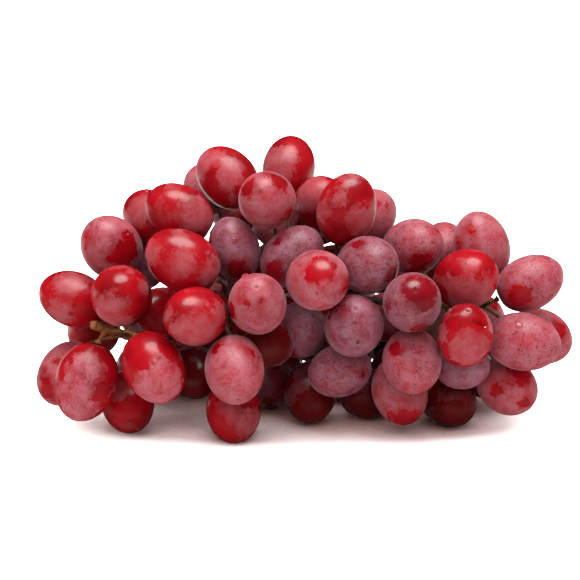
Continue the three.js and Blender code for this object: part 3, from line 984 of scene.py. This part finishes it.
@dataclass
class Water:
    """The drops of water on the berries, as one piece."""

    berries: dict[str, BerryForm]
    segments: int = 24
    rings: int = 14
    # Painted refraction: the red of the skin seen through a drop, laid on the drop itself.
    painted_refraction_tint: Colour = (0.80, 0.34, 0.38, 1.0)
    piece: Optional[bpy.types.Object] = None

    def build(self) -> bpy.types.Object:
        """Build every drop.

        Returns:
            The drops' object.
        """
        shape = bmesh.new()
        for name, drops in DROPS.items():
            for drop in drops:
                self._add(shape, drop, self.berries["berry_" + name])
        self.piece = new_piece("water_drops", shape)
        return self.piece

    def _add(self, shape: bmesh.types.BMesh, drop: Drop, form: BerryForm) -> None:
        """Add a drop that bulges from the skin, a little fuller at its lower end.

        Args:
            shape: The mesh to add to.
            drop: The drop.
            form: The berry that it lies on.
        """
        point = form.skin_point(Spot(drop.across, drop.up, 0.0).way)
        out = form.skin_normal(point)
        lay = out.to_track_quat("Z", "Y") @ Quaternion((0, 0, 1), math.radians(-drop.lean))
        width = drop.radius * MM
        scale = Matrix.Diagonal((width, width * drop.stretch, width * drop.swell, 1.0))
        at = Matrix.Translation(point - out * (0.012 * form.radius + 0.1 * width))
        made = bmesh.ops.create_uvsphere(
            shape, u_segments=self.segments, v_segments=self.rings, radius=1.0,
            matrix=at @ lay.to_matrix().to_4x4() @ scale,
        )
        for corner in made["verts"]:
            height = (corner.co - point).z / (width * drop.stretch)
            corner.co += out * max(-height, 0.0) * 0.12 * width

    def dress(self) -> None:
        """Make the drops water, tinted red as painted refraction of the skin seen through them."""
        made = bpy.data.materials.new("water_tinted_red")
        made.use_nodes = True
        nodes = Nodes(made.node_tree)
        shader = made.node_tree.nodes["Principled BSDF"]
        shader.inputs["Base Color"].default_value = self.painted_refraction_tint
        shader.inputs["Transmission Weight"].default_value = 1.0
        shader.inputs["Roughness"].default_value = 0.03
        shader.inputs["IOR"].default_value = 1.34
        in_shadow = nodes.add("LightPath").outputs["Is Shadow Ray"]
        clear = nodes.add("BsdfTransparent").outputs[0]
        both = nodes.fed("MixShader", {0: in_shadow, 1: shader.outputs[0], 2: clear})
        nodes.join(both.outputs[0], made.node_tree.nodes["Material Output"].inputs[0])
        self.piece.data.materials.append(made)
        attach(self.piece, "root")


# ---------------------------------------------------------------- stalk


@dataclass
class Stalk:
    """The woody stalk with its shoots, pedicels and the collars that hold the berries."""

    berries: list[Berry]
    voxel: float = 0.4 * MM
    collar_radius: float = 1.35 * MM
    collar_length: float = 1.3 * MM
    green_from: float = 92.0
    greening: float = 28.0
    # Painted shade: the stretch in mm past the cut end over which the wood darkens inside the bunch.
    painted_shade_ramp: tuple[float, float] = (14.0, 30.0)
    knobbly: float = 12.0
    piece: Optional[bpy.types.Object] = None

    def build(self, node: bpy.types.Object) -> bpy.types.Object:
        """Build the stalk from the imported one: rounded, knobbly, and with its collars.

        Args:
            node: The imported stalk.

        Returns:
            The stalk's object.
        """
        shape = bmesh.new()
        shape.from_mesh(node.data)
        bmesh.ops.remove_doubles(shape, verts=shape.verts, dist=0.001 * MM)
        for berry in self.berries:
            self._add_collar(shape, berry.form)
        self.piece = new_piece("stalk_wood", shape, smooth=False)
        self._remesh()
        self._roughen()
        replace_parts(self.piece, "stalk")
        return self.piece

    def _add_collar(self, shape: bmesh.types.BMesh, form: BerryForm) -> None:
        """Add the swollen end of a pedicel where it meets its berry.

        Args:
            shape: The mesh to add to.
            form: The berry.
        """
        lay = Vector((0, 0, 1)).rotation_difference(form.tip_way).to_matrix().to_4x4()
        at = form.tail - form.tip_way * (0.5 * self.collar_length - 0.25 * MM)
        bmesh.ops.create_cone(
            shape, cap_ends=True, segments=12, radius1=0.5 * self.collar_radius, radius2=self.collar_radius,
            depth=self.collar_length, matrix=Matrix.Translation(at) @ lay,
        )

    def _remesh(self) -> None:
        """Melt the tubes and collars into one skin."""
        melt = self.piece.modifiers.new("melt", "REMESH")
        melt.mode = "VOXEL"
        melt.voxel_size = self.voxel
        smooth = self.piece.modifiers.new("smooth", "SMOOTH")
        smooth.factor = 0.5
        smooth.iterations = 3
        graph = bpy.context.evaluated_depsgraph_get()
        melted = bpy.data.meshes.new_from_object(self.piece.evaluated_get(graph))
        self.piece.modifiers.clear()
        self.piece.data = melted

    def _roughen(self) -> None:
        """Give the wood ridges and warts, and say how old each stretch of it is and how much painted shade
        darkens it.
        """
        shape = bmesh.new()
        shape.from_mesh(self.piece.data)
        shape.normal_update()
        age = shape.verts.layers.float.new("wood_age")
        painted_shade = shape.verts.layers.float.new("wood_painted_shade")
        cut_end = min((corner.co for corner in shape.verts), key=lambda co: co.x + 0.9 * co.y).copy()
        for corner in shape.verts:
            place = corner.co / MM
            away = (corner.co - cut_end).length / MM
            knob = max(0.0, 1.0 - away / self.knobbly)
            bump = 0.16 * noise.fractal(place * 0.9, 0.9, 2.0, 3) + 0.08 * noise.noise(place * 2.6)
            bump += 0.6 * knob * noise.noise(place * 0.62) - 0.15 * knob
            corner[age] = max(0.0, min(1.0, (self.green_from - away) / self.greening + 1.0))
            # Painted shade: dark past that stretch, until the wood turns green.
            start, end = self.painted_shade_ramp
            corner[painted_shade] = max(0.0, min(1.0, (away - start) / (end - start), corner[age] * 2.0))
            corner.co += corner.normal * bump * MM
        for face in shape.faces:
            face.smooth = True
        shape.to_mesh(self.piece.data)
        shape.free()

    def dress(self) -> None:
        """Give the stalk its bark."""
        self.piece.data.materials.append(BarkFinish().material())
        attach(self.piece, "root")


@dataclass(frozen=True)
class BarkFinish:
    """How the stalk looks: green and smooth where young, tan to brown and fibrous where old, and darkened
    by painted shade inside the bunch.
    """

    young: Colour = (0.13, 0.115, 0.012, 1.0)
    old: Colour = (0.30, 0.100, 0.026, 1.0)
    # The dark colour serves the stains and fibres and also the painted shade.
    dark: Colour = (0.030, 0.010, 0.004, 1.0)

    def material(self) -> bpy.types.Material:
        """Build the material.

        Returns:
            The bark's material.
        """
        made, nodes = new_material("stalk_bark")
        place = nodes.add("TexCoord").outputs["Object"]
        age = nodes.attribute("wood_age")
        blotch = nodes.noise(place, 260.0, 4.0, 0.6)
        fibre = nodes.noise(place, 1500.0, 3.0, 0.6, 0.4)
        ageing = nodes.math("ADD", age, nodes.math("MULTIPLY_ADD", blotch, 0.8, -0.4), clamp=True)
        colour = nodes.blend(ageing, self.young, self.old)
        stain = nodes.math("MULTIPLY", nodes.step(blotch, 0.50, 0.62), 0.85)
        colour = nodes.blend(stain, colour, self.dark)
        colour = nodes.blend(nodes.math("MULTIPLY", fibre, 0.5), colour, self.dark)
        # Painted shade: the wood is darkened where it runs between the berries.
        painted_shade = nodes.math("MULTIPLY", nodes.attribute("wood_painted_shade"), 0.85)
        colour = nodes.blend(painted_shade, colour, self.dark)
        bark = nodes.fed("BsdfPrincipled", {
            "Base Color": colour,
            "Roughness": nodes.math("MULTIPLY_ADD", fibre, 0.3, 0.42),
            "Subsurface Weight": 0.1,
            "Subsurface Scale": 0.8 * MM,
            "Normal": nodes.bump(fibre, 0.6, 0.15 * MM),
        })
        nodes.fed("OutputMaterial", {0: bark.outputs[0]})
        return made


# ---------------------------------------------------------------- studio


@dataclass
class Studio:
    """The pale floor, the soft light and the camera."""

    aim: Vector
    distance: float = 456.3 * MM
    elevation: float = FRONT_TILT
    lens: float = 85.0

    # PAPER is the floor's own colour, which lights the bunch. LIT_PAPER and SHADED_PAPER are what the
    # camera sees: brighter than that, with a painted red-brown shadow near the bunch. MIRRORED_FRONT and
    # MIRRORED_BACK are the paper in reflections: painted reflection, dark in front and pale behind.
    PAPER = (0.80, 0.77, 0.76, 1.0)
    LIT_PAPER = (1.80, 1.72, 1.70, 1.0)
    SHADED_PAPER = (0.55, 0.27, 0.235, 1.0)
    MIRRORED_FRONT = (0.14, 0.09, 0.09, 1.0)
    MIRRORED_BACK = (0.75, 0.66, 0.65, 1.0)
    # How far the painted shadow reaches, and the half sizes of the ellipse round the bunch past which the
    # paper glows for the camera.
    SHADE_REACH = 50 * MM
    SHADE_HALF = (0.095, 0.042)

    def build(self) -> None:
        """Build everything round the bunch."""
        self._floor()
        self._world()
        self._lamp("overhead", Vector((0.02, -0.10, 0.62)), Vector((0, 0, 0.05)), (0.52, 0.38), 4.5)
        self._lamp("front_fill", Vector((-0.1, -0.82, 0.46)), Vector((0, 0, 0.04)), (1.0, 0.6), 4.6,
                   mirrored=False)
        self._camera()

    def _floor(self) -> None:
        """Lay a pale sheet that runs far past the bunch, with a painted shadow, a painted glow and painted
        reflections on it.
        """
        shape = bmesh.new()
        bmesh.ops.create_grid(shape, x_segments=1, y_segments=1, size=6.0)
        floor = new_piece("floor", shape, smooth=False)
        paint, nodes = new_material("floor_paper")
        path = nodes.add("LightPath").outputs
        seen = path["Is Camera Ray"]
        place = nodes.add("TexCoord").outputs["Object"]
        ahead = nodes.fed("SeparateXYZ", {0: place}).outputs["Y"]
        # Painted reflection: seen in reflections, the paper is dark in front of the bunch and pale behind
        # it.
        mirrored = nodes.blend(nodes.step(ahead, 0.05, 0.14), self.MIRRORED_FRONT, self.MIRRORED_BACK)
        paper = nodes.blend(path["Is Glossy Ray"], self.PAPER, mirrored)
        # Painted shadow: the camera sees the paper red-brown where the bunch is near, by ambient occlusion.
        reached = nodes.fed("AmbientOcclusion", {"Distance": self.SHADE_REACH}, samples=8)
        painted_shadow_paper = nodes.blend(nodes.step(reached.outputs["AO"], 0.05, 0.62), self.SHADED_PAPER, self.LIT_PAPER)
        matt = nodes.fed("BsdfDiffuse", {"Color": nodes.blend(seen, paper, painted_shadow_paper)})
        # Painted light: past an ellipse round the bunch the paper glows for the camera, which ends its
        # shadow there.
        across, along = self.SHADE_HALF
        spread = nodes.fed("Mapping", {
            "Vector": place, "Location": (0.0, -0.03, 0.0), "Scale": (1 / across, 1 / along, 1.0),
        })
        away = nodes.fed("VectorMath", {0: spread.outputs[0]}, operation="LENGTH")
        beyond = nodes.step(away.outputs["Value"], 0.80, 1.15)
        glow = nodes.fed("Emission", {"Strength": nodes.math("MULTIPLY", beyond, seen)})
        both = nodes.fed("AddShader", {0: matt.outputs[0], 1: glow.outputs[0]})
        nodes.fed("OutputMaterial", {0: both.outputs[0]})
        floor.data.materials.append(paint)
        floor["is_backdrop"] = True

    @staticmethod
    def _world() -> None:
        """Fill the room with light: bright behind the bunch, dim in front of it."""
        world = bpy.data.worlds.new("room")
        bpy.context.scene.world = world
        world.use_nodes = True
        nodes = Nodes(world.node_tree)
        path = nodes.add("LightPath")
        way = nodes.fed("SeparateXYZ", {0: nodes.add("TexCoord").outputs["Generated"]})
        behind = nodes.step(way.outputs["Y"], 0.0, 0.8)
        above = nodes.step(way.outputs["Z"], 0.1, 0.9)
        soft = nodes.math("MULTIPLY_ADD", above, 0.40, nodes.math("MULTIPLY_ADD", behind, 0.10, 0.85))
        mirrored = nodes.math("MULTIPLY_ADD", nodes.math("MAXIMUM", behind, above), 1.7, 0.12)
        shown = dict(enumerate((path.outputs["Is Glossy Ray"], soft, mirrored)))
        lit = nodes.fed("Mix", shown, data_type="FLOAT").outputs[0]
        light = world.node_tree.nodes["Background"]
        nodes.join(nodes.math("MAXIMUM", lit, path.outputs["Is Camera Ray"]), light.inputs["Strength"])
        light.inputs["Color"].default_value = (1.0, 1.0, 1.0, 1.0)

    @staticmethod
    def _lamp(name: str, place: Vector, target: Vector, size: tuple[float, float], power: float,
              mirrored: bool = True) -> None:
        """Hang a soft box.

        Args:
            name: The lamp's name.
            place: Where it hangs.
            target: What it points at.
            size: Its width and depth.
            power: Its power in watts.
            mirrored: Whether it shows in reflections.
        """
        light = bpy.data.lights.new(name, "AREA")
        light.shape = "ELLIPSE"
        light.size, light.size_y = size
        light.energy = power
        lamp = bpy.data.objects.new(name, light)
        lamp.location = place
        lamp.visible_glossy = mirrored
        lamp.rotation_mode = "QUATERNION"
        lamp.rotation_quaternion = (target - place).to_track_quat("-Z", "Y")
        bpy.context.collection.objects.link(lamp)

    def _camera(self) -> None:
        """Set the camera up in front of the bunch, a little above it."""
        view = bpy.data.cameras.new("camera")
        view.lens = self.lens
        view.sensor_width = 36.0
        view.clip_start = 0.01
        camera = bpy.data.objects.new("camera", view)
        tilt = math.radians(self.elevation)
        back = Vector((0, -math.cos(tilt), math.sin(tilt)))
        camera.location = self.aim + back * self.distance
        camera.rotation_mode = "QUATERNION"
        camera.rotation_quaternion = (-back).to_track_quat("-Z", "Y")
        bpy.context.collection.objects.link(camera)
        bpy.context.scene.camera = camera
        bpy.context.scene.view_settings.view_transform = "Standard"


# ---------------------------------------------------------------- putting it together


def corners(box: tuple[Vector, Vector]) -> Iterator[list[float]]:
    """List the two corners of a box.

    Args:
        box: The lowest and the highest corner.

    Yields:
        Each corner as a plain list.
    """
    for corner in box:
        yield [float(part) for part in corner]


def main() -> None:
    """Build the bunch on its floor, under its lights."""
    logging.basicConfig(level=logging.INFO, format="%(name)s: %(message)s")
    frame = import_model()
    cad_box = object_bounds()
    low, high = cad_box

    effects = Effects()
    bunch = Berries(effects, low, high)
    bunch.build(frame["nodes"])
    bunch.dress()
    LOG.info("berries: %d", len(bunch.berries))

    water = Water(bunch.single_forms())
    water.build()
    water.dress()
    LOG.info("water drops: %d", sum(map(len, DROPS.values())))

    stalk = Stalk(bunch.berries)
    stalk.build(frame["nodes"]["stalk"])
    stalk.dress()
    LOG.info("stalk: %d faces", len(stalk.piece.data.polygons))

    centre = (low + high) / 2
    Studio(aim=centre + Vector((-5.1, -9.0, -1.8)) * MM).build()

    {"cad": list(corners(cad_box)), "visual": list(corners(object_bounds()))}


if __name__ == "__main__":
    main()
